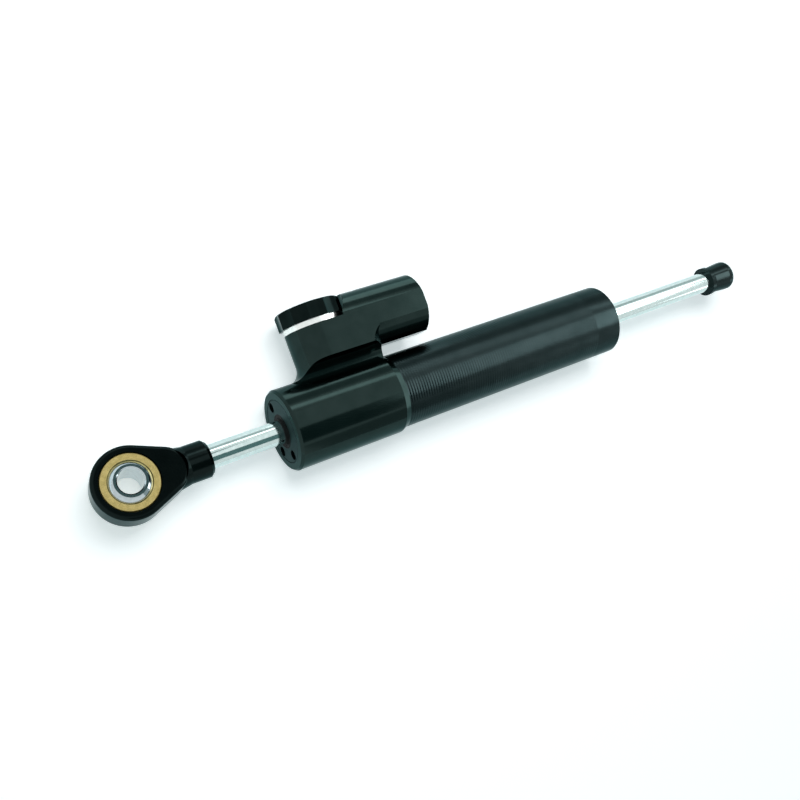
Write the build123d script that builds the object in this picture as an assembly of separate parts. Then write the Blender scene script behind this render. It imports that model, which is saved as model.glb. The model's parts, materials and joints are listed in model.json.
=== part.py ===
from build123d import *
import math
import os

# Motorcycle steering damper, twin tube with a through rod, in millimetres.
# Origin: centre of the clamp seat, on the axis of the outer tube.
# +X runs from the rod eye to the free end of the rod, +Y to the adjuster knob.

# Fits, shared by every piece
running_clearance = 0.05
seal_clearance = 0.02
seated_clearance = 0.01
overrun = 2.0

# Rod and stroke, at the rod position shown: travel in is towards +X
rod_radius = 4.0
rod_end_chamfer = 0.5
rod_thread_length = 9.6
thread_depth_spare = 0.4
travel_in = 21.9
travel_out = 53.1
stroke_end_gap = 3.8
piston_end_spare = 1.9

# Outer tube, which the clamp holds
tube_radius = 12.7
tube_half_length = 46.4
tube_wall = 2.0
tube_end_chamfer = 0.4
tube_spigot_step = 0.8
valve_to_spigot = 6.6

# Machined block: cylinder
block_shoulder = 1.05
block_length = 41.3
block_front_chamfer_length = 0.9
block_front_chamfer_depth = 0.7
block_rear_chamfer_length = 2.2
block_rear_land = 0.15

# Machined block: knob post, web and coves, with heights above the cylinder's top
gland_to_valve = 6.0
post_radius = 10.2
post_height = 15.45
cove_sink = 1.75
cove_radius = 5.85
flare_radius = 4.75
flare_height = 4.55
web_relief_offset = 3.4
web_relief_height = 2.15
web_relief_radius = 7.4
web_relief_floor_radius = 2.2
web_relief_depth = 5.2

# Machined block: reservoir, with heights above the cylinder's top
reservoir_height = 12.75
reservoir_radius = 10.8
reservoir_length = 22.7
reservoir_edge_chamfer = 0.3
reservoir_gap = 2.65
reservoir_bore_radius = 8.5
reservoir_end_wall = 3.0
knob_pocket_radius = 12.6

# Machined block: oil ways
oil_way_radius = 1.0
annulus_way_offset = 4.5
feed_way_drop = 1.6

# Glands, one screwed into each end
gland_step = 0.05
gland_edge_chamfer = 0.25
gland_nose_length = 3.0
front_gland_length = 16.7
rear_gland_length = 18.0
rear_gland_recess = 0.6
pin_hole_angles = (-14.0, 166.0, 226.0)
pin_hole_radius = 1.7
pin_hole_depth = 2.5
pin_circle_inset = 2.05

# Pieces inside each gland, from its outer face inwards
wiper_radius = 5.8
wiper_seat_depth = 2.6
wiper_lip_length = 0.8
wiper_lip_radius = 4.7
rod_seal_radius = 6.4
rod_seal_start = 3.8
rod_seal_length = 3.4
rod_seal_lip_radius = 4.9
bush_radius = 5.2
bush_start = 8.2
gland_o_ring_start = 11.0
gland_o_ring_length = 1.8
gland_o_ring_depth = 1.15
groove_end_gap = 0.2

# Inner cylinder and piston
cylinder_wall = 1.5
oil_jacket = 0.95
port_radius = 1.2
port_count = 4
port_from_end = 4.0
piston_length = 14.0
piston_ring_length = 3.0
piston_ring_depth = 0.8
circlip_thickness = 0.9
rod_circlip_radius = 5.4
rod_circlip_depth = 0.5
circlip_gap = 2.4

# Adjuster knob and its index ring
index_ring_height = 1.75
index_spigot_radius = 6.5
index_spigot_length = 3.0
knob_radius = 11.3
knob_height = 5.7
knob_edge_radius = 0.9
knob_scallop_count = 12
knob_scallop_radius = 16.0
knob_scallop_phase = 9.5
knob_recess_radius = 3.0
knob_recess_depth = 1.9
knob_floor_gap = 1.0
spindle_radius = 3.0
spindle_flange_radius = 5.0
spindle_flange_height = 1.5
spindle_sleeve_radius = 4.0
spindle_sleeve_height = 3.3
spindle_chamber_radius = 5.3
hex_flats = 2.6
screw_radius = 1.5
screw_length = 6.0
screw_head_radius = 2.75
screw_head_height = 1.6
screw_hex_flats = 2.0
screw_hex_depth = 1.0

# Needle valve under the knob
seat_radius = 3.0
seat_height = 2.0
seat_floor_wall = 0.7
seat_nose_radius = 2.0
seat_bore_radius = 1.0
seat_cone_height = 0.8
seat_cone_half_angle = 30.0
needle_stroke = 0.5
needle_tip_radius = 0.5
needle_stem_radius = 1.4
needle_chamber_height = 2.2
needle_body_height = 4.8
needle_hex_height = 4.2
needle_o_ring_start = 0.6
needle_o_ring_length = 1.3
needle_o_ring_depth = 0.8

# Gas reservoir internals
compensator_length = 7.0
compensator_front_gap = 3.4
compensator_cup_radius = 6.0
compensator_cup_depth = 3.5
reservoir_o_ring_length = 1.9
reservoir_o_ring_depth = 1.15
plug_length = 5.0
plug_lip = 0.7
plug_circlip_groove_depth = 0.6
plug_circlip_width = 1.6
fill_screw_radius = 2.5
fill_screw_length = 3.6
fill_screw_hex_flats = 2.5
fill_screw_hex_depth = 2.0
gas_way_radius = 0.8

# Rod eye with its spherical bearing
eye_roll = 11.0
eye_radius = 11.7
eye_thickness = 9.0
eye_edge_radius = 1.1
eye_nose_radius = 7.6
eye_nose_offset = 10.6
socket_radius = 6.1
socket_reach = 25.6
socket_chamfer_length = 1.1
socket_chamfer_depth = 0.9
race_radius = 9.3
race_width = 8.8
race_chamfer = 0.45
race_lip_chamfer = 0.2
ball_radius = 7.9375
ball_width = 12.0
ball_clearance = 0.1
bolt_radius = 4.0
bolt_bore_chamfer = 0.38

# Cap on the free end of the rod
cap_length = 12.2
cap_thread_length = 9.7
cap_rim_radius = 5.63
cap_rim_length = 1.6
cap_waist_radius = 5.1
cap_neck_length = 0.7
cap_end_radius = 1.6
cap_rear_land = 1.2

# Places that follow from the sizes above
block_rear_x = -tube_half_length
block_front_x = block_rear_x - block_length
block_radius = tube_radius + block_shoulder
tube_spigot_radius = tube_radius - tube_spigot_step
tube_bore_radius = tube_radius - tube_wall
gland_radius = tube_bore_radius + gland_step
gland_seat_radius = gland_radius + running_clearance
pin_circle_radius = gland_radius - pin_circle_inset
cylinder_bore_radius = tube_bore_radius - oil_jacket - cylinder_wall
front_shoulder_x = block_front_x + front_gland_length
knob_x = front_shoulder_x + gland_to_valve
tube_front_x = knob_x + valve_to_spigot
post_top_y = block_radius + post_height
cove_y = block_radius - cove_sink
flare_top_y = block_radius + flare_height
web_relief_x = block_rear_x + web_relief_offset
web_relief_y = block_radius + web_relief_height
reservoir_y = block_radius + reservoir_height
reservoir_under_y = block_radius + reservoir_gap
rear_gland_x = tube_half_length - rear_gland_recess
rear_shoulder_x = rear_gland_x - rear_gland_length
piston_front_limit_x = front_shoulder_x + gland_nose_length + piston_end_spare
piston_centre_x = piston_front_limit_x + travel_out + piston_length / 2
socket_end_x = block_front_x - travel_in - stroke_end_gap
rod_front_x = socket_end_x - rod_thread_length
eye_x = socket_end_x - socket_reach
cap_front_x = tube_half_length + travel_out + stroke_end_gap
rod_rear_x = cap_front_x + cap_thread_length
reservoir_bore_front_x = knob_x + knob_pocket_radius + reservoir_end_wall
reservoir_rear_x = reservoir_bore_front_x + reservoir_length
plug_rear_x = reservoir_rear_x - plug_lip - circlip_thickness - groove_end_gap
plug_front_x = plug_rear_x - plug_length
compensator_front_x = reservoir_bore_front_x + compensator_front_gap
spindle_top_y = post_top_y + index_ring_height + knob_height - knob_recess_depth - knob_floor_gap
flange_top_y = post_top_y - index_spigot_length - running_clearance
sleeve_foot_y = flange_top_y - spindle_flange_height - spindle_sleeve_height
seat_shoulder_y = tube_bore_radius + seat_floor_wall
seat_top_y = seat_shoulder_y + seat_height
seat_slope = math.tan(math.radians(seat_cone_half_angle))
needle_lift = needle_stroke + running_clearance
needle_body_y = seat_top_y + needle_chamber_height
needle_top_y = needle_body_y + needle_body_height
needle_bore_radius = seat_radius + seal_clearance

# Frames: each turned piece is drawn about its own X axis
knob_frame = Plane(origin=(knob_x, 0, 0), x_dir=(0, 1, 0), z_dir=(0, 0, 1)).location
reservoir_frame = Pos(0, reservoir_y, 0)
bore_axis = (0, math.sin(math.radians(eye_roll)), math.cos(math.radians(eye_roll)))
plate_plane = Plane(origin=(eye_x, 0, 0), x_dir=(1, 0, 0), z_dir=bore_axis)
bore_frame = Plane(origin=(eye_x, 0, 0), x_dir=bore_axis, z_dir=(1, 0, 0)).location


def turned(*outline):
    """A solid turned about X from a closed outline of (x, radius) points."""
    section = make_face(Polyline(*outline, close=True))
    return revolve(section, Axis.X)


def bar(radius, start, end):
    """A round bar on the X axis."""
    return turned((start, 0), (start, radius), (end, radius), (end, 0))


def ring(inner, outer, start, end):
    """A plain ring round the X axis."""
    return turned((start, inner), (start, outer), (end, outer), (end, inner))


def hex_bar(flats, start, end):
    """A six-sided bar on the X axis, given across its flats."""
    section = RegularPolygon(flats / 2, 6, major_radius=False)
    plane = Plane(origin=(start, 0, 0), x_dir=(0, 1, 0), z_dir=(1, 0, 0))
    return extrude(plane * section, end - start)


def around_x(shape, count):
    """Copies of a shape spaced evenly round the X axis."""
    copies = [Rot(360 / count * step, 0, 0) * shape for step in range(count)]
    return Part() + copies


def drilling(radius, start, end):
    """A drilled way between two points."""
    path = Vector(*end) - Vector(*start)
    plane = Plane(origin=start, z_dir=path)
    return extrude(plane * Circle(radius), path.length)


def circlip(inner, outer, start):
    """An open spring ring round the X axis."""
    clip = ring(inner, outer, start, start + circlip_thickness)
    gap = Pos(start + circlip_thickness / 2, outer, 0) * Box(circlip_thickness * 2, outer * 2, circlip_gap)
    return clip - gap


def knob_post():
    """The post, the web behind it and the flared foot, with a cove along each side."""
    web_length = block_rear_x - knob_x
    plane = Plane(origin=(knob_x, cove_y, 0), x_dir=(1, 0, 0), z_dir=(0, 1, 0))
    outline = Circle(post_radius) + Pos(web_length / 2, 0) * Rectangle(web_length, post_radius * 2)
    post = extrude(plane * outline, post_top_y - cove_y)
    foot_radius = post_radius + flare_radius
    flare_foot_y = flare_top_y - flare_radius
    diagonal = flare_radius * math.sqrt(0.5)
    curve_start = (flare_foot_y, foot_radius)
    curve_middle = (flare_top_y - diagonal, foot_radius - diagonal)
    curve_end = (flare_top_y, post_radius)
    curve = ThreePointArc(curve_start, curve_middle, curve_end)
    sides = Polyline(curve_end, (flare_top_y, 0), (cove_y, 0), (cove_y, foot_radius), curve_start)
    post += knob_frame * revolve(make_face(curve + sides), Axis.X)
    cove_start = knob_x - foot_radius - overrun
    for side in (-1, 1):
        cove = Pos(0, cove_y, side * post_radius) * bar(cove_radius, cove_start, block_rear_x + overrun)
        post -= cove
        post -= web_relief(side)
    return post


def web_relief(side):
    """The conical relief that turns the end of the web into a C on each flat."""
    spread = (web_relief_radius - web_relief_floor_radius) / web_relief_depth
    outer_radius = web_relief_radius + spread * overrun
    floor_z = post_radius - web_relief_depth
    plane = Plane(origin=(web_relief_x, web_relief_y, 0), x_dir=(0, 0, side), z_dir=(1, 0, 0))
    cone = turned(
        (floor_z, 0),
        (floor_z, web_relief_floor_radius),
        (post_radius + overrun, outer_radius),
        (post_radius + overrun, 0),
    )
    return plane.location * cone


def reservoir_body():
    """The gas reservoir, flattened at its sides and underneath, with a round pocket for the knob."""
    rim = reservoir_radius - reservoir_edge_chamfer
    shell = reservoir_frame * turned(
        (knob_x, 0),
        (knob_x, reservoir_radius),
        (reservoir_rear_x - reservoir_edge_chamfer, reservoir_radius),
        (reservoir_rear_x, rim),
        (reservoir_rear_x, 0),
    )
    top_y = reservoir_y + reservoir_radius + overrun
    length = (reservoir_rear_x - knob_x) * 2
    height = top_y - reservoir_under_y
    flats = Pos(knob_x, reservoir_under_y + height / 2, 0) * Box(length, height, post_radius * 2)
    pocket = knob_frame * bar(knob_pocket_radius, post_top_y, top_y)
    return (shell & flats) - pocket


def block_cylinder():
    """The cylinder of the block, chamfered at both ends."""
    front_rim = block_radius - block_front_chamfer_depth
    rear_rim = tube_radius + block_rear_land
    return turned(
        (block_front_x, 0),
        (block_front_x, front_rim),
        (block_front_x + block_front_chamfer_length, block_radius),
        (block_rear_x - block_rear_chamfer_length, block_radius),
        (block_rear_x, rear_rim),
        (block_rear_x, 0),
    )


def block_bores():
    """Every bore and oil way of the block."""
    seat = bar(gland_seat_radius, block_front_x - overrun, front_shoulder_x)
    main = bar(tube_bore_radius, front_shoulder_x - overrun, block_rear_x + overrun)
    spigot = bar(tube_spigot_radius + seated_clearance, tube_front_x, block_rear_x + overrun)
    top = post_top_y - index_spigot_length
    index_seat = bar(index_spigot_radius + seated_clearance, top, post_top_y + overrun)
    chamber = bar(spindle_chamber_radius, needle_top_y + running_clearance, top + overrun)
    needle_bore = bar(needle_bore_radius, seat_shoulder_y, needle_top_y + overrun)
    nose_bore = bar(seat_nose_radius + seated_clearance, 0, seat_shoulder_y + overrun)
    knob_bores = knob_frame * (index_seat + chamber + needle_bore + nose_bore)
    gas_bore = reservoir_frame * bar(reservoir_bore_radius, reservoir_bore_front_x, reservoir_rear_x + overrun)
    clip_start = plug_rear_x
    clip_end = clip_start + circlip_thickness + groove_end_gap
    clip_groove = reservoir_frame * bar(reservoir_bore_radius + plug_circlip_groove_depth, clip_start, clip_end)
    chamber_y = seat_top_y + needle_chamber_height / 2
    feed_end_y = reservoir_y - reservoir_bore_radius + feed_way_drop
    feed_end_x = reservoir_bore_front_x + oil_way_radius
    feed_way = drilling(oil_way_radius, (knob_x, chamber_y, 0), (feed_end_x, feed_end_y, 0))
    annulus_way_x = knob_x + annulus_way_offset
    annulus_way = drilling(oil_way_radius, (annulus_way_x, 0, 0), (annulus_way_x, needle_body_y, 0))
    return [seat, main, spigot, knob_bores, gas_bore, clip_groove, feed_way, annulus_way]


def main_block():
    block = knob_post() + reservoir_body() + block_cylinder()
    for bore in block_bores():
        block -= bore
    return block


def outer_tube():
    rear_seat = bar(gland_seat_radius, rear_shoulder_x, tube_half_length + overrun)
    tube = turned(
        (tube_front_x, tube_bore_radius),
        (tube_front_x, tube_spigot_radius),
        (block_rear_x, tube_spigot_radius),
        (block_rear_x, tube_radius),
        (tube_half_length - tube_end_chamfer, tube_radius),
        (tube_half_length, tube_radius - tube_end_chamfer),
        (tube_half_length, tube_bore_radius),
    )
    return tube - rear_seat


def gland_frame(face_x, inwards):
    """The frame of a gland: its X axis starts at the outer face and points into the damper."""
    return Plane(origin=(face_x, 0, 0), x_dir=(inwards, 0, 0), z_dir=(0, 0, 1)).location


def gland(length):
    """A gland about its own X axis, with its seats for wiper, seal and bush."""
    body = turned(
        (0, 0),
        (0, gland_radius - gland_edge_chamfer),
        (gland_edge_chamfer, gland_radius),
        (length, gland_radius),
        (length, cylinder_bore_radius - seated_clearance),
        (length + gland_nose_length, cylinder_bore_radius - seated_clearance),
        (length + gland_nose_length, 0),
    )
    rod_hole = rod_radius + running_clearance * 2
    body -= bar(rod_hole, -overrun, length + gland_nose_length + overrun)
    body -= bar(wiper_radius + seated_clearance, -overrun, wiper_seat_depth)
    seal_end = rod_seal_start + rod_seal_length
    body -= bar(rod_seal_radius + seated_clearance, rod_seal_start, seal_end + groove_end_gap)
    body -= bar(bush_radius + seated_clearance, bush_start, length + gland_nose_length + overrun)
    groove_end = gland_o_ring_start + gland_o_ring_length + groove_end_gap
    body -= ring(gland_radius - gland_o_ring_depth, gland_radius + overrun, gland_o_ring_start, groove_end)
    pin_hole = Pos(0, pin_circle_radius, 0) * bar(pin_hole_radius, -overrun, pin_hole_depth)
    for angle in pin_hole_angles:
        body -= Rot(angle, 0, 0) * pin_hole
    return body


def wiper():
    """The scraper ring, whose lip stands out of the gland round the rod."""
    inner = rod_radius + seal_clearance
    return turned(
        (-wiper_lip_length, inner),
        (-wiper_lip_length, (inner + wiper_lip_radius) / 2),
        (0, wiper_lip_radius),
        (0, wiper_radius),
        (wiper_seat_depth - groove_end_gap, wiper_radius),
        (wiper_seat_depth - groove_end_gap, inner),
    )


def rod_seal():
    """The lip seal, with its pressure groove facing the oil."""
    inner = rod_radius + seal_clearance
    end = rod_seal_start + rod_seal_length
    groove_floor = (rod_seal_start + end) / 2
    return turned(
        (rod_seal_start, inner),
        (rod_seal_start, rod_seal_radius),
        (end, rod_seal_radius),
        (end, (rod_seal_radius + rod_seal_lip_radius) / 2),
        (groove_floor, rod_seal_lip_radius),
        (end, rod_seal_lip_radius),
        (end, inner),
    )


def guide_bush(length):
    return ring(rod_radius + running_clearance, bush_radius, bush_start, length + gland_nose_length)


def gland_o_ring():
    inner = gland_radius - gland_o_ring_depth + seated_clearance
    outer = gland_seat_radius - seated_clearance
    return ring(inner, outer, gland_o_ring_start, gland_o_ring_start + gland_o_ring_length)


def inner_cylinder():
    outer = cylinder_bore_radius + cylinder_wall
    liner = ring(cylinder_bore_radius, outer, front_shoulder_x, rear_shoulder_x)
    liner -= knob_frame * bar(seat_nose_radius + seated_clearance, 0, outer + overrun)
    port_x = rear_shoulder_x - port_from_end
    port_bar = drilling(port_radius, (port_x, 0, 0), (port_x, outer + overrun, 0))
    return liner - around_x(port_bar, port_count)


def piston():
    front = piston_centre_x - piston_length / 2
    rear = piston_centre_x + piston_length / 2
    outer = cylinder_bore_radius - running_clearance
    head = ring(rod_radius + running_clearance, outer, front, rear)
    half_groove = (piston_ring_length + groove_end_gap) / 2
    floor = cylinder_bore_radius - piston_ring_depth
    return head - ring(floor, outer + overrun, piston_centre_x - half_groove, piston_centre_x + half_groove)


def piston_ring():
    inner = cylinder_bore_radius - piston_ring_depth + seated_clearance
    outer = cylinder_bore_radius - seal_clearance
    start = piston_centre_x - piston_ring_length / 2
    return ring(inner, outer, start, start + piston_ring_length)


def circlip_starts():
    """Where the two circlips that hold the piston on the rod begin."""
    half = piston_length / 2 + running_clearance
    return [piston_centre_x - half - circlip_thickness, piston_centre_x + half]


def piston_circlips():
    inner = rod_radius - rod_circlip_depth + seated_clearance
    return Part() + [circlip(inner, rod_circlip_radius, start) for start in circlip_starts()]


def piston_rod():
    tip = rod_radius - rod_end_chamfer
    rod = turned(
        (rod_front_x, 0),
        (rod_front_x, tip),
        (rod_front_x + rod_end_chamfer, rod_radius),
        (rod_rear_x - rod_end_chamfer, rod_radius),
        (rod_rear_x, tip),
        (rod_rear_x, 0),
    )
    for start in circlip_starts():
        groove_start = start - seated_clearance
        groove_end = start + circlip_thickness + seated_clearance
        rod -= ring(rod_radius - rod_circlip_depth, rod_radius + overrun, groove_start, groove_end)
    return rod


def index_ring():
    """The plain collar under the knob, with its spigot in the post."""
    foot = post_top_y - index_spigot_length
    collar = turned(
        (foot, 0),
        (foot, index_spigot_radius),
        (post_top_y, index_spigot_radius),
        (post_top_y, post_radius),
        (post_top_y + index_ring_height, post_radius),
        (post_top_y + index_ring_height, 0),
    )
    hole = bar(spindle_radius + running_clearance, foot - overrun, post_top_y + index_ring_height + overrun)
    return knob_frame * (collar - hole)


def adjuster_knob():
    """The hand knob, with shallow scallops that meet in sharp lines."""
    foot = post_top_y + index_ring_height + running_clearance
    top = post_top_y + index_ring_height + knob_height
    knob = bar(knob_radius, foot, top)
    half_angle = math.radians(180 / knob_scallop_count)
    half_chord = knob_radius * math.sin(half_angle)
    reach = math.sqrt(knob_scallop_radius**2 - half_chord**2)
    scallop_offset = knob_radius * math.cos(half_angle) + reach
    scallop = Pos(0, scallop_offset, 0) * bar(knob_scallop_radius, foot - overrun, top + overrun)
    middle_phase = knob_scallop_phase + 180 / knob_scallop_count
    for step in range(knob_scallop_count):
        knob -= Rot(middle_phase + 360 / knob_scallop_count * step, 0, 0) * scallop
    crown = turned(
        (foot, 0),
        (foot, knob_radius + overrun),
        (top - knob_edge_radius, knob_radius + overrun),
        (top - knob_edge_radius, knob_radius),
        (top - knob_edge_radius / 3, knob_radius - knob_edge_radius / 3),
        (top, knob_radius - knob_edge_radius),
        (top, 0),
    )
    knob = knob & crown
    knob -= bar(spindle_radius + seated_clearance, foot - overrun, spindle_top_y)
    knob -= bar(screw_radius + seated_clearance, foot, top + overrun)
    knob -= bar(knob_recess_radius, top - knob_recess_depth, top + overrun)
    return knob_frame * knob


def knob_spindle():
    """The flanged spindle that carries the knob and drives the needle through a hexagon."""
    sleeve_top = flange_top_y - spindle_flange_height
    spindle = turned(
        (sleeve_foot_y, 0),
        (sleeve_foot_y, spindle_sleeve_radius),
        (sleeve_top, spindle_sleeve_radius),
        (sleeve_top, spindle_flange_radius),
        (flange_top_y, spindle_flange_radius),
        (flange_top_y, spindle_radius),
        (spindle_top_y - seated_clearance, spindle_radius),
        (spindle_top_y - seated_clearance, 0),
    )
    hex_top = needle_top_y + needle_hex_height + needle_stroke * 2
    spindle -= hex_bar(hex_flats + running_clearance * 2, sleeve_foot_y - overrun, hex_top)
    screw_foot = knob_screw_foot() - thread_depth_spare
    spindle -= bar(screw_radius + seated_clearance, screw_foot, spindle_top_y + overrun)
    return knob_frame * spindle


def knob_screw_foot():
    top = post_top_y + index_ring_height + knob_height
    return top - knob_recess_depth - screw_length


def knob_screw():
    foot = knob_screw_foot()
    head = foot + screw_length
    top = head + screw_head_height
    screw = turned(
        (foot, 0),
        (foot, screw_radius),
        (head, screw_radius),
        (head, screw_head_radius),
        (top - screw_head_height / 2, screw_head_radius),
        (top, screw_head_radius / 2 + screw_hex_flats / 3),
        (top, 0),
    )
    screw -= hex_bar(screw_hex_flats, top - screw_hex_depth, top + overrun)
    return knob_frame * screw


def valve_seat():
    """The hardened seat, whose nose reaches through the oil jacket into the inner cylinder."""
    nose_foot = cylinder_bore_radius + cylinder_wall / 2
    cone_foot = seat_top_y - seat_cone_height
    mouth = seat_bore_radius + seat_cone_height * seat_slope
    return knob_frame * turned(
        (nose_foot, seat_bore_radius),
        (nose_foot, seat_nose_radius),
        (seat_shoulder_y, seat_nose_radius),
        (seat_shoulder_y, seat_radius),
        (seat_top_y, seat_radius),
        (seat_top_y, mouth),
        (cone_foot, seat_bore_radius),
    )


def adjuster_needle():
    """The needle: cone, stem, sealed body and the hexagon that the spindle turns."""
    seat_line = seat_top_y - seat_cone_height + needle_lift
    tip = seat_line - (seat_bore_radius - needle_tip_radius) / seat_slope
    stem_foot = seat_line + (needle_stem_radius - seat_bore_radius) / seat_slope
    outer = needle_bore_radius - running_clearance
    needle = turned(
        (tip, 0),
        (tip, needle_tip_radius),
        (stem_foot, needle_stem_radius),
        (needle_body_y, needle_stem_radius),
        (needle_body_y, outer),
        (needle_top_y, outer),
        (needle_top_y, 0),
    )
    groove_start = needle_body_y + needle_o_ring_start
    groove_end = groove_start + needle_o_ring_length + groove_end_gap
    needle -= ring(outer - needle_o_ring_depth, outer + overrun, groove_start, groove_end)
    needle += hex_bar(hex_flats, needle_top_y, needle_top_y + needle_hex_height)
    return knob_frame * needle


def needle_o_ring():
    start = needle_body_y + needle_o_ring_start
    inner = needle_bore_radius - running_clearance - needle_o_ring_depth + seated_clearance
    return knob_frame * ring(inner, needle_bore_radius - seated_clearance, start, start + needle_o_ring_length)


def reservoir_groove(start):
    """The groove for an O-ring in a piece that fits the reservoir bore."""
    floor = reservoir_bore_radius - reservoir_o_ring_depth
    return ring(floor, reservoir_bore_radius + overrun, start, start + reservoir_o_ring_length + groove_end_gap)


def reservoir_o_ring(start):
    inner = reservoir_bore_radius - reservoir_o_ring_depth + seated_clearance
    return reservoir_frame * ring(
        inner,
        reservoir_bore_radius - seated_clearance,
        start,
        start + reservoir_o_ring_length,
    )


def compensator_groove_x():
    return compensator_front_x + (compensator_length - reservoir_o_ring_length) / 2


def compensator_piston():
    """The free piston between oil and gas, hollowed on the gas side."""
    rear = compensator_front_x + compensator_length
    body = bar(reservoir_bore_radius - running_clearance, compensator_front_x, rear)
    body -= bar(compensator_cup_radius, rear - compensator_cup_depth, rear + overrun)
    return reservoir_frame * (body - reservoir_groove(compensator_groove_x()))


def plug_groove_x():
    return plug_front_x + (plug_length - reservoir_o_ring_length) / 2


def reservoir_plug():
    """The end plug, drilled for the filling screw."""
    plug = bar(reservoir_bore_radius - running_clearance, plug_front_x, plug_rear_x)
    plug -= bar(gas_way_radius, plug_front_x - overrun, plug_rear_x)
    plug -= bar(fill_screw_radius + seated_clearance, plug_rear_x - fill_screw_length, plug_rear_x + overrun)
    return reservoir_frame * (plug - reservoir_groove(plug_groove_x()))


def plug_circlip():
    outer = reservoir_bore_radius + plug_circlip_groove_depth - seated_clearance
    return reservoir_frame * circlip(outer - plug_circlip_width, outer, plug_rear_x + seated_clearance)


def fill_screw():
    screw = bar(fill_screw_radius, plug_rear_x - fill_screw_length + seated_clearance, plug_rear_x)
    screw -= hex_bar(fill_screw_hex_flats, plug_rear_x - fill_screw_hex_depth, plug_rear_x + overrun)
    return reservoir_frame * screw


def eye_outline(inset):
    """The tapered outline of the eye's plate, or a smaller one inside it."""
    nose = Pos(eye_nose_offset, 0) * Circle(eye_nose_radius - inset)
    return make_hull((Circle(eye_radius - inset) + nose).edges())


def eye_housing():
    """The rod eye: a tapered plate round the bearing, with a round socket for the rod."""
    plate = extrude(plate_plane * eye_outline(0), eye_thickness / 2, both=True)
    middle = eye_thickness / 4
    rims = plate.edges().filter_by(lambda edge: abs(plate_plane.to_local_coords(edge.center()).Z) > middle)
    plate = fillet(rims, eye_edge_radius)
    taper = math.asin((eye_radius - eye_nose_radius) / eye_nose_offset)
    neck_start = eye_nose_offset + eye_nose_radius * math.sin(taper)
    neck_end = eye_nose_offset + eye_nose_radius
    socket_end = socket_end_x - eye_x
    socket = turned(
        (neck_start, 0),
        (neck_start, eye_nose_radius * math.cos(taper) - running_clearance),
        (neck_end, socket_radius),
        (socket_end - socket_chamfer_length, socket_radius),
        (socket_end, socket_radius - socket_chamfer_depth),
        (socket_end, 0),
    )
    prism = extrude(eye_outline(eye_edge_radius / 2), eye_thickness, both=True)
    housing = plate + plate_plane.location * (socket - prism)
    housing -= bore_frame * bar(race_radius + seated_clearance, -eye_thickness, eye_thickness)
    rod_hole_end = rod_front_x - thread_depth_spare
    return housing - bar(rod_radius + seated_clearance, rod_hole_end, socket_end_x + overrun)


def bearing_race():
    """The brass race, pressed into the eye, with the ball's spherical seat."""
    half = race_width / 2
    blank = turned(
        (-half, 0),
        (-half, race_radius - race_chamfer),
        (race_chamfer - half, race_radius),
        (half - race_chamfer, race_radius),
        (half, race_radius - race_chamfer),
        (half, 0),
    )
    seat_radius_here = ball_radius + ball_clearance
    mouth = math.sqrt(seat_radius_here**2 - half**2)
    blank -= Sphere(seat_radius_here)
    for side in (-1, 1):
        lip = turned(
            (side * (half - race_lip_chamfer), 0),
            (side * (half - race_lip_chamfer), mouth),
            (side * (half + overrun), mouth + race_lip_chamfer + overrun),
            (side * (half + overrun), 0),
        )
        blank -= lip
    return bore_frame * blank


def bearing_ball():
    """The pierced ball, which takes the clamp bolt."""
    half = ball_width / 2
    ball = Sphere(ball_radius) & bar(ball_radius * 2, -half, half)
    ball -= bar(bolt_radius, -ball_width, ball_width)
    for side in (-1, 1):
        ball -= turned(
            (side * (half - bolt_bore_chamfer), 0),
            (side * (half - bolt_bore_chamfer), bolt_radius),
            (side * (half + overrun), bolt_radius + bolt_bore_chamfer + overrun),
            (side * (half + overrun), 0),
        )
    return bore_frame * ball


def rod_end_cap():
    """The waisted cap on the free end of the rod."""
    rear = cap_front_x + cap_length
    corner = cap_end_radius * (1 - math.sqrt(0.5))
    edge_start = (rear - cap_end_radius, cap_rim_radius)
    edge_middle = (rear - corner, cap_rim_radius - corner)
    edge_end = (rear, cap_rim_radius - cap_end_radius)
    sides = Polyline(
        edge_end,
        (rear, 0),
        (cap_front_x, 0),
        (cap_front_x, cap_rim_radius),
        (cap_front_x + cap_rim_length, cap_rim_radius),
        (cap_front_x + cap_rim_length + cap_neck_length, cap_waist_radius),
        (rear - cap_end_radius - cap_rear_land, cap_rim_radius),
        edge_start,
    )
    cap = revolve(make_face(sides + ThreePointArc(edge_start, edge_middle, edge_end)), Axis.X)
    hole_end = rod_rear_x + thread_depth_spare
    return cap - bar(rod_radius + seated_clearance, cap_front_x - overrun, hole_end)


front_frame = gland_frame(block_front_x, 1)
rear_frame = gland_frame(rear_gland_x, -1)

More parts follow.
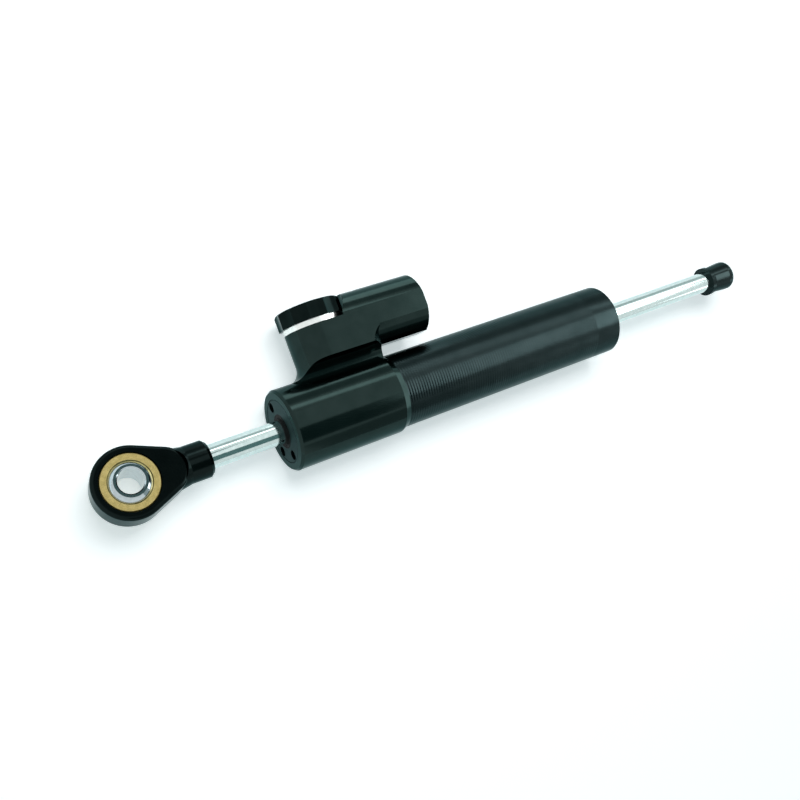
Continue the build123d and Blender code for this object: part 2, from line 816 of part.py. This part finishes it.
parts = {
    "main_block": main_block(),
    "outer_tube": outer_tube(),
    "inner_cylinder": inner_cylinder(),
    "front_gland": front_frame * gland(front_gland_length),
    "rear_gland": rear_frame * gland(rear_gland_length),
    "front_guide_bush": front_frame * guide_bush(front_gland_length),
    "rear_guide_bush": rear_frame * guide_bush(rear_gland_length),
    "front_rod_seal": front_frame * rod_seal(),
    "rear_rod_seal": rear_frame * rod_seal(),
    "front_wiper": front_frame * wiper(),
    "rear_wiper": rear_frame * wiper(),
    "front_gland_o_ring": front_frame * gland_o_ring(),
    "rear_gland_o_ring": rear_frame * gland_o_ring(),
    "valve_seat": valve_seat(),
    "index_ring": index_ring(),
    "reservoir_plug": reservoir_plug(),
    "plug_o_ring": reservoir_o_ring(plug_groove_x()),
    "plug_circlip": plug_circlip(),
    "fill_screw": fill_screw(),
    "piston": piston(),
    "piston_ring": piston_ring(),
    "piston_rod": piston_rod(),
    "piston_circlips": piston_circlips(),
    "eye_housing": eye_housing(),
    "bearing_race": bearing_race(),
    "bearing_ball": bearing_ball(),
    "rod_end_cap": rod_end_cap(),
    "adjuster_knob": adjuster_knob(),
    "knob_spindle": knob_spindle(),
    "knob_screw": knob_screw(),
    "adjuster_needle": adjuster_needle(),
    "needle_o_ring": needle_o_ring(),
    "compensator_piston": compensator_piston(),
    "compensator_o_ring": reservoir_o_ring(compensator_groove_x()),
}

os.makedirs("parts", exist_ok=True)
for name, shape in parts.items():
    export_step(shape, f"parts/{name}.step")
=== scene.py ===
# Steering damper: finishes, turned skin of the tube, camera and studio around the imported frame. Metres.
import json
import math

import bpy
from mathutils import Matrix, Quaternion, Vector

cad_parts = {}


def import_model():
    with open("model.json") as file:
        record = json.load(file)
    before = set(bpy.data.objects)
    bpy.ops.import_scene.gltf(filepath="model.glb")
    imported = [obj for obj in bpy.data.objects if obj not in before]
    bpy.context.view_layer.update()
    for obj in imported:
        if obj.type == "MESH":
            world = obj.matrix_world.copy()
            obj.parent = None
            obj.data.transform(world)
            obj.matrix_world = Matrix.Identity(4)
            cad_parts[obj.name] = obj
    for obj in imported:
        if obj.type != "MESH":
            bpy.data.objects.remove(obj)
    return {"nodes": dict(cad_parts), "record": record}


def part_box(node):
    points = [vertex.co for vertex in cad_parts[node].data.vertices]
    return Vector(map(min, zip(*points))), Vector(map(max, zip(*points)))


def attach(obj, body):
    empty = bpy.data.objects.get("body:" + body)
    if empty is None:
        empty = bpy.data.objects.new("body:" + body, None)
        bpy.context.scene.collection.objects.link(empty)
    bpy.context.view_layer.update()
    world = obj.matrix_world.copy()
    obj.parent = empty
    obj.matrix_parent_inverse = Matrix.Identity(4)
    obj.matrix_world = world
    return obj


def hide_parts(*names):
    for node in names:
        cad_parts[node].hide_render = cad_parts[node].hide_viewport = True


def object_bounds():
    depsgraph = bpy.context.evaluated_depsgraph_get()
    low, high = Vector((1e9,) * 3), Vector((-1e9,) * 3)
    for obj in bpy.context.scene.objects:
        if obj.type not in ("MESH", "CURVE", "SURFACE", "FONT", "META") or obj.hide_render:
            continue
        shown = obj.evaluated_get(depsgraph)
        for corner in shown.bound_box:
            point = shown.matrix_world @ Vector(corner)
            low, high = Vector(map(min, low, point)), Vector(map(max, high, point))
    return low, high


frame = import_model()
cad_low, cad_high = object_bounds()
nodes = frame["nodes"]

MM = 0.001

# Sizes taken from the frame
tube_low, tube_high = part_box("outer_tube")
tube_end = tube_high.x
tube_radius = tube_high.z
spigot_end = tube_low.x
eye_mount = next(m for m in frame["record"]["mounts"] if m["name"] == "rod_eye_bore")
eye_centre = Vector(eye_mount["pos_m"])
eye_axis = Vector(eye_mount["axis"])
eye_roll = math.atan2(eye_axis.y, eye_axis.z)

# Outer tube: turned grooves, and its band, bore and spigot as on the solid
groove_pitch = 1.0 * MM
groove_depth = 0.04 * MM
plain_band = 10.4 * MM
tube_bore_radius = 10.7 * MM
spigot_radius = 11.9 * MM
end_chamfer = 0.4 * MM
tube_facets = 96
groove_edge_angle = 6
same_point = 0.001 * MM

# Knob: rounded edges
knob_edge_width = 0.2 * MM
knob_edge_angle = 40


# Helpers for pieces
def make_active(piece):
    bpy.ops.object.select_all(action="DESELECT")
    piece.select_set(True)
    bpy.context.view_layer.objects.active = piece


def edit_ring(piece, x, radius=None):
    """Opens the piece for editing with its points at this x selected, or only those at this radius too."""
    make_active(piece)
    bpy.ops.object.mode_set(mode="EDIT")
    bpy.ops.mesh.select_all(action="DESELECT")
    bpy.ops.object.mode_set(mode="OBJECT")
    for v in piece.data.vertices:
        v.select = abs(v.co.x - x) < same_point
        if radius is not None and abs(math.hypot(v.co.y, v.co.z) - radius) > same_point:
            v.select = False
    bpy.ops.object.mode_set(mode="EDIT")
    bpy.ops.mesh.select_mode(type="VERT")


def resize_ring(from_radius, to_radius):
    factor = to_radius / from_radius
    bpy.ops.transform.resize(value=(1, factor, factor), center_override=(0, 0, 0))


def extrude_profile(radius, steps):
    """Extrudes the selected ring by each step in turn, a length along X and the radius at its end."""
    for length, next_radius in steps:
        bpy.ops.mesh.extrude_region_move(TRANSFORM_OT_translate={"value": (length, 0, 0)})
        if next_radius != radius:
            resize_ring(radius, next_radius)
        radius = next_radius


def smooth(piece, angle):
    make_active(piece)
    bpy.ops.object.shade_smooth_by_angle(angle=math.radians(angle))


def round_edges(node, width, angle):
    """Bevels the edges of a solid that are sharper than this angle."""
    bevel = node.modifiers.new("soft_edges", "BEVEL")
    bevel.width = width
    bevel.segments = 2
    bevel.limit_method = "ANGLE"
    bevel.angle_limit = math.radians(angle)
    bevel.harden_normals = True


# The outer tube with its turned grooves
def grooved_tube():
    groove_end = tube_end - plain_band
    length = groove_end + tube_end
    grooves = round(length / groove_pitch)
    half_pitch = length / grooves / 2
    floor_radius = tube_radius - groove_depth
    # A short ring at the block's end, then each groove extruded in turn
    bpy.ops.object.select_all(action="DESELECT")
    bpy.ops.mesh.primitive_cylinder_add(
        vertices=tube_facets, radius=tube_radius, depth=half_pitch, end_fill_type="NOTHING",
        location=(half_pitch / 2 - tube_end, 0, 0), rotation=(0, math.pi / 2, 0))
    piece = bpy.context.object
    piece.name = "grooved_tube"
    bpy.ops.object.transform_apply(location=True, rotation=True, scale=True)
    edit_ring(piece, half_pitch - tube_end)
    resize_ring(tube_radius, floor_radius)
    extrude_profile(floor_radius, [(half_pitch, tube_radius)])
    for _ in range(grooves - 1):
        extrude_profile(tube_radius, [(half_pitch, floor_radius), (half_pitch, tube_radius)])
    bpy.ops.object.mode_set(mode="OBJECT")
    # Plain band, chamfered end and bore
    edit_ring(piece, groove_end)
    extrude_profile(tube_radius, [
        (plain_band - end_chamfer, tube_radius),
        (end_chamfer, tube_radius - end_chamfer),
        (0, tube_bore_radius),
        (spigot_end - tube_end, tube_bore_radius),
    ])
    bpy.ops.object.mode_set(mode="OBJECT")
    # Shoulder, spigot and the spigot's end face
    edit_ring(piece, -tube_end, tube_radius)
    extrude_profile(tube_radius, [
        (0, spigot_radius),
        (spigot_end + tube_end, spigot_radius),
        (0, tube_bore_radius),
    ])
    bpy.ops.mesh.select_all(action="SELECT")
    bpy.ops.mesh.remove_doubles(threshold=same_point)
    bpy.ops.mesh.normals_make_consistent(inside=False)
    bpy.ops.object.mode_set(mode="OBJECT")
    smooth(piece, groove_edge_angle)
    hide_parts("outer_tube")
    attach(piece, "damper_body")
    return piece


# Helpers for finishes
def new_finish(name, color, metallic, roughness, specular=0.5, edge_tint=(1, 1, 1)):
    material = bpy.data.materials.new(name)
    material.use_nodes = True
    shader = material.node_tree.nodes["Principled BSDF"]
    shader.inputs["Base Color"].default_value = (*color, 1)
    shader.inputs["Metallic"].default_value = metallic
    shader.inputs["Roughness"].default_value = roughness
    shader.inputs["Specular IOR Level"].default_value = specular
    shader.inputs["Specular Tint"].default_value = (*edge_tint, 1)
    return material


def add(material, kind, **inputs):
    node = material.node_tree.nodes.new(kind)
    for name, value in inputs.items():
        node.inputs[name.replace("_", " ")].default_value = value
    return node


def link(material, output, socket):
    material.node_tree.links.new(output, socket)


def place(material, centre=(0, 0, 0), turn=(0, 0, 0)):
    """Object coordinates, centred and turned for a pattern."""
    coordinates = add(material, "ShaderNodeTexCoord")
    mapping = add(material, "ShaderNodeMapping")
    mapping.vector_type = "TEXTURE"
    mapping.inputs["Location"].default_value = centre
    mapping.inputs["Rotation"].default_value = turn
    link(material, coordinates.outputs["Object"], mapping.inputs["Vector"])
    return mapping.outputs["Vector"]


def grain(material, vector, size, detail=3.0):
    noise = add(material, "ShaderNodeTexNoise", Scale=1 / size, Detail=detail)
    link(material, vector, noise.inputs["Vector"])
    return noise.outputs["Fac"]


# Pitch of the wave texture at scale 1
wave_pitch = math.pi / 10


def marks(material, vector, pitch, rings_axis=None):
    """Tool marks of this pitch: bands along X, or rings about an axis."""
    wave = add(material, "ShaderNodeTexWave", Scale=wave_pitch / pitch, Distortion=0.4, Detail=2.0)
    if rings_axis:
        wave.wave_type = "RINGS"
        wave.rings_direction = rings_axis
    else:
        wave.bands_direction = "X"
    link(material, vector, wave.inputs["Vector"])
    return wave.outputs["Fac"]


def vary_color(material, factor, dark, light):
    ramp = add(material, "ShaderNodeValToRGB")
    for element, position, color in zip(ramp.color_ramp.elements, (0.3, 0.7), (dark, light)):
        element.position = position
        element.color = (*color, 1)
    link(material, factor, ramp.inputs["Fac"])
    shader = material.node_tree.nodes["Principled BSDF"]
    link(material, ramp.outputs["Color"], shader.inputs["Base Color"])


def vary_roughness(material, factor, roughness):
    """Roughness between a low and a high value."""
    span = add(material, "ShaderNodeMapRange", To_Min=roughness[0], To_Max=roughness[1])
    link(material, factor, span.inputs["Value"])
    shader = material.node_tree.nodes["Principled BSDF"]
    link(material, span.outputs["Result"], shader.inputs["Roughness"])


def raise_surface(material, *heights):
    """Bump from one or more pairs of a factor and its height in metres."""
    shader = material.node_tree.nodes["Principled BSDF"]
    normal = None
    for factor, height in heights:
        bump = add(material, "ShaderNodeBump", Strength=1.0, Distance=height)
        link(material, factor, bump.inputs["Height"])
        if normal:
            link(material, normal, bump.inputs["Normal"])
        normal = bump.outputs["Normal"]
    link(material, normal, shader.inputs["Normal"])


# Black finishes
TEAL_EDGE = (0.56, 0.64, 0.64)
anodised_patch = 5 * MM
anodised_marks = 0.3 * MM


def anodised(name, dark, light, roughness, speck, height, rings_axis=None):
    """Black anodised aluminium: a dark metal whose edges reflect less, over fine tool marks."""
    m = new_finish(name, light, 1.0, roughness[1], edge_tint=TEAL_EDGE)
    vary_color(m, grain(m, place(m), anodised_patch), dark, light)
    fine = grain(m, place(m), speck, 2.0)
    vary_roughness(m, fine, roughness)
    raise_surface(m, (fine, height), (marks(m, place(m), anodised_marks, rings_axis), height / 2))
    return m


def block_black():
    return anodised("block_black", dark=(0.0155, 0.0280, 0.0262), light=(0.0195, 0.0335, 0.0315),
                    roughness=(0.11, 0.18), speck=0.25 * MM, height=0.0008 * MM)


def tube_black():
    return anodised("tube_black", dark=(0.0155, 0.0255, 0.0262), light=(0.0205, 0.0320, 0.0328),
                    roughness=(0.18, 0.28), speck=0.2 * MM, height=0.0010 * MM)


def gland_black():
    return anodised("gland_black", dark=(0.0175, 0.0290, 0.0300), light=(0.0225, 0.0360, 0.0370),
                    roughness=(0.26, 0.36), speck=0.2 * MM, height=0.0012 * MM, rings_axis="X")


def knob_black():
    return anodised("knob_black", dark=(0.0045, 0.0085, 0.0082), light=(0.0065, 0.0115, 0.0110),
                    roughness=(0.10, 0.16), speck=0.3 * MM, height=0.0008 * MM, rings_axis="Y")


def eye_black():
    return anodised("eye_black", dark=(0.0070, 0.0120, 0.0118), light=(0.0095, 0.0155, 0.0150),
                    roughness=(0.14, 0.22), speck=0.35 * MM, height=0.0010 * MM)


def cap_black():
    return anodised("cap_black", dark=(0.0150, 0.0230, 0.0230), light=(0.0190, 0.0290, 0.0290),
                    roughness=(0.12, 0.20), speck=0.3 * MM, height=0.0010 * MM, rings_axis="X")


# Bare and plated metals
metal_patch = 1.5 * MM


def metal(name, dark, light, roughness, height, pitch=0.25 * MM, rings_axis="X", place_marks=place):
    """Bare or plated metal over tool marks."""
    m = new_finish(name, light, 1.0, roughness[1])
    vector = place_marks(m)
    vary_color(m, grain(m, vector, metal_patch), dark, light)
    lines = marks(m, vector, pitch, rings_axis)
    vary_roughness(m, lines, roughness)
    raise_surface(m, (lines, height))
    return m


def about_eye(m):
    return place(m, centre=eye_centre, turn=(-eye_roll, 0, 0))


def index_silver():
    return metal("index_silver", dark=(0.74, 0.79, 0.77), light=(0.86, 0.90, 0.88),
                 roughness=(0.22, 0.34), height=0.001 * MM, rings_axis="Y")


def race_brass():
    return metal("race_brass", dark=(0.54, 0.43, 0.155), light=(0.70, 0.57, 0.23), roughness=(0.22, 0.36),
                 height=0.002 * MM, pitch=0.3 * MM, rings_axis="Z", place_marks=about_eye)


def ball_steel():
    return metal("ball_steel", dark=(0.42, 0.49, 0.51), light=(0.50, 0.57, 0.59), roughness=(0.06, 0.12),
                 height=0.0003 * MM, rings_axis="Z", place_marks=about_eye)


def rod_chrome():
    return metal("rod_chrome", dark=(0.50, 0.62, 0.61), light=(0.58, 0.70, 0.69), roughness=(0.09, 0.12),
                 height=0.00002 * MM, pitch=0.8 * MM, rings_axis=None)


def bare_steel():
    return metal("bare_steel", dark=(0.48, 0.50, 0.50), light=(0.58, 0.60, 0.60),
                 roughness=(0.22, 0.36), height=0.001 * MM)


def bush_bronze():
    return metal("bush_bronze", dark=(0.45, 0.28, 0.13), light=(0.58, 0.38, 0.19),
                 roughness=(0.3, 0.42), height=0.001 * MM)


def piston_alloy():
    return metal("piston_alloy", dark=(0.58, 0.59, 0.60), light=(0.70, 0.71, 0.72),
                 roughness=(0.3, 0.4), height=0.001 * MM)


# Rubber and polymer
soft_specular = 0.08
soft_patch = 0.8 * MM
soft_speck = 0.12 * MM
soft_height = 0.003 * MM


def soft_black(name, dark, light, roughness):
    m = new_finish(name, light, 0.0, roughness[1], soft_specular)
    vary_color(m, grain(m, place(m), soft_patch), dark, light)
    fine = grain(m, place(m), soft_speck)
    vary_roughness(m, fine, roughness)
    raise_surface(m, (fine, soft_height))
    return m


def seal_rubber():
    return soft_black("seal_rubber", dark=(0.004, 0.006, 0.006), light=(0.009, 0.012, 0.012),
                      roughness=(0.5, 0.7))


def ring_polymer():
    return soft_black("ring_polymer", dark=(0.06, 0.055, 0.05), light=(0.10, 0.09, 0.08),
                      roughness=(0.45, 0.6))


FINISHES = [block_black, tube_black, gland_black, knob_black, eye_black, cap_black, index_silver, race_brass,
            ball_steel, rod_chrome, bare_steel, bush_bronze, piston_alloy, seal_rubber, ring_polymer]


def dress(piece, material):
    piece.data.materials.clear()
    piece.data.materials.append(material)


def dress_all(tube):
    made = {make.__name__: make() for make in FINISHES}
    for part in frame["record"]["subparts"]:
        dress(nodes[part["node"]], made[part["material_slot"]])
    dress(tube, made["tube_black"])


# Camera: fitted to the straight edges of the rod, tube and block
camera_place = Vector((-0.1945, -0.0085, 0.3070))
camera_target = Vector((-0.0441, -0.0033, 0.0))
camera_roll = math.radians(68.0)


def camera():
    data = bpy.data.cameras.new("camera")
    data.lens = 45
    data.sensor_width = 36
    data.clip_start = 0.01
    data.clip_end = 50
    cam = bpy.data.objects.new("camera", data)
    bpy.context.scene.collection.objects.link(cam)
    turn = (camera_target - camera_place).to_track_quat("-Z", "Y")
    cam.rotation_mode = "QUATERNION"
    cam.rotation_quaternion = turn @ Quaternion((0, 0, 1), camera_roll)
    cam.location = camera_place
    bpy.context.scene.camera = cam


# Studio: white table and background, one soft lamp, and bright and dark cards that only reflections see
WHITE = (1, 1, 1)
GREY = (0.52, 0.60, 0.60)
BLACK = (0.12, 0.21, 0.21)
ORIGIN = (0, 0, 0)

fill_color = (0.80, 0.96, 1.0)
fill_strength = 0.22

table_size = 12
table_color = (0.87, 0.87, 0.87)
table_glow_color = (0.89, 0.985, 1.0)
# The table glows less near the object: distances from the origin, and the strengths there
table_glow = {"From_Min": 0.22, "From_Max": 0.6, "To_Min": 0.56, "To_Max": 1.0}

# Strips of the overhead card, from low to high: lower angle, upper angle, strength
OVERHEAD_STRIPS = [(43, 53, 6.0), (53, 59, 4.2), (59, 65, 2.2)]
overhead_distance = 0.75
overhead_side_angle = -9
overhead_width = 0.50


def aim(thing, centre, target, front):
    """Turns the thing's front axis from its centre towards the target."""
    thing.rotation_mode = "QUATERNION"
    thing.rotation_quaternion = (Vector(target) - Vector(centre)).to_track_quat(front, "Y")


def card(name, centre, target, width, height, color, strength):
    """A glowing panel that only reflections show."""
    bpy.ops.object.select_all(action="DESELECT")
    bpy.ops.mesh.primitive_plane_add(size=1, location=centre)
    panel = bpy.context.object
    panel.name = name
    aim(panel, centre, target, "Z")
    panel.scale = (width, height, 1)
    for ray in ("camera", "diffuse", "transmission", "volume_scatter", "shadow"):
        setattr(panel, "visible_" + ray, False)
    m = bpy.data.materials.new(name)
    m.use_nodes = True
    m.node_tree.nodes.remove(m.node_tree.nodes["Principled BSDF"])
    glow = add(m, "ShaderNodeEmission", Color=(*color, 1), Strength=strength)
    link(m, glow.outputs["Emission"], m.node_tree.nodes["Material Output"].inputs["Surface"])
    panel.data.materials.append(m)


def softbox(name, centre, target, width, height, radiance):
    """A soft lamp for the table's shadow, which no reflection shows."""
    data = bpy.data.lights.new(name, "AREA")
    data.shape = "RECTANGLE"
    data.size = width
    data.size_y = height
    data.energy = radiance * math.pi * width * height
    lamp = bpy.data.objects.new(name, data)
    bpy.context.scene.collection.objects.link(lamp)
    lamp.location = centre
    aim(lamp, centre, target, "-Z")
    lamp.visible_glossy = False


def seen_directly(tree):
    """1 for camera, glossy and transmission rays, else 0."""
    path = tree.nodes.new("ShaderNodeLightPath")
    total = path.outputs["Is Camera Ray"]
    for ray in ("Is Glossy Ray", "Is Transmission Ray"):
        larger = tree.nodes.new("ShaderNodeMath")
        larger.operation = "MAXIMUM"
        tree.links.new(total, larger.inputs[0])
        tree.links.new(path.outputs[ray], larger.inputs[1])
        total = larger.outputs[0]
    return total


def background(tree, color, strength):
    node = tree.nodes.new("ShaderNodeBackground")
    node.inputs["Color"].default_value = (*color, 1)
    node.inputs["Strength"].default_value = strength
    return node.outputs["Background"]


def world():
    """A dim fill for the light, and white where it is seen directly."""
    studio_world = bpy.data.worlds.new("studio")
    bpy.context.scene.world = studio_world
    studio_world.use_nodes = True
    tree = studio_world.node_tree
    tree.nodes.clear()
    out = tree.nodes.new("ShaderNodeOutputWorld")
    mix = tree.nodes.new("ShaderNodeMixShader")
    tree.links.new(seen_directly(tree), mix.inputs["Fac"])
    tree.links.new(background(tree, fill_color, fill_strength), mix.inputs[1])
    tree.links.new(background(tree, WHITE, 1.0), mix.inputs[2])
    tree.links.new(mix.outputs["Shader"], out.inputs["Surface"])


def table_top():
    """A white table that keeps the object's shadow, and glows a little where it is seen directly."""
    bpy.ops.object.select_all(action="DESELECT")
    bpy.ops.mesh.primitive_plane_add(size=table_size, location=(0, 0, cad_low.z))
    top = bpy.context.object
    top.name = "table_top"
    m = new_finish("table_white", table_color, metallic=0.0, roughness=0.8, specular=0.1)
    tree = m.node_tree
    surface = tree.nodes["Principled BSDF"].outputs["BSDF"]
    glow = add(m, "ShaderNodeEmission", Color=(*table_glow_color, 1))
    distance = add(m, "ShaderNodeVectorMath")
    distance.operation = "LENGTH"
    link(m, place(m), distance.inputs[0])
    rise = add(m, "ShaderNodeMapRange", **table_glow)
    link(m, distance.outputs["Value"], rise.inputs["Value"])
    link(m, rise.outputs["Result"], glow.inputs["Strength"])
    both = add(m, "ShaderNodeAddShader")
    mix = add(m, "ShaderNodeMixShader")
    link(m, surface, both.inputs[0])
    link(m, glow.outputs["Emission"], both.inputs[1])
    link(m, seen_directly(tree), mix.inputs["Fac"])
    link(m, surface, mix.inputs[1])
    link(m, both.outputs["Shader"], mix.inputs[2])
    link(m, mix.outputs["Shader"], tree.nodes["Material Output"].inputs["Surface"])
    top.data.materials.append(m)


def aimed(side_angle, height_angle, distance):
    """A point seen from the origin at this angle from +X towards +Y, and at this angle above the table."""
    side = math.radians(side_angle)
    up = math.radians(height_angle)
    return Vector((math.cos(up) * math.cos(side), math.cos(up) * math.sin(side), math.sin(up))) * distance


def overhead_strips():
    """Fades the card that the top of the tube reflects, so that it is darker overhead."""
    for number, (low_angle, high_angle, strength) in enumerate(OVERHEAD_STRIPS):
        centre = aimed(overhead_side_angle, (low_angle + high_angle) / 2, overhead_distance)
        height = overhead_distance * math.radians(high_angle - low_angle)
        card("overhead_strip_%d" % number, centre, ORIGIN, overhead_width, height, WHITE, strength)


def studio():
    world()
    table_top()
    softbox("table_softbox", (-0.02, 0.22, 0.62), ORIGIN, width=0.45, height=0.30, radiance=6.2)
    card("key_card", aimed(60, 39, 0.75), ORIGIN,
         width=1.05, height=0.12, color=WHITE, strength=3.6)
    card("dark_above_eye", (0.015, 0.315, 0.71), (-0.135, 0, 0),
         width=0.18, height=0.18, color=BLACK, strength=0.6)
    overhead_strips()
    card("dim_overhead", aimed(8, 64, 0.82), ORIGIN,
         width=1.0, height=0.62, color=WHITE, strength=1.2)
    card("dark_overhead", (-0.02, -0.24, 0.42), (-0.02, 0, 0),
         width=0.42, height=0.36, color=BLACK, strength=1.0)
    card("grey_background", (0.55, 1.3, 0.45), ORIGIN,
         width=2.4, height=0.5, color=GREY, strength=1.0)
    card("rear_card", aimed(-5, 12, 0.8), ORIGIN,
         width=1.1, height=0.34, color=WHITE, strength=3.5)
    card("block_card", (-0.015, 0.118, 0.006), (-0.065, 0, 0.006),
         width=0.07, height=0.038, color=WHITE, strength=3.2)
    card("grey_side", (0.0125, -0.125, 0.045), (-0.05, 0, 0.005),
         width=0.095, height=0.08, color=GREY, strength=0.8)


outer_skin = grooved_tube()
round_edges(nodes["adjuster_knob"], knob_edge_width, knob_edge_angle)
dress_all(outer_skin)
camera()
studio()
bpy.context.scene.view_settings.view_transform = "Standard"
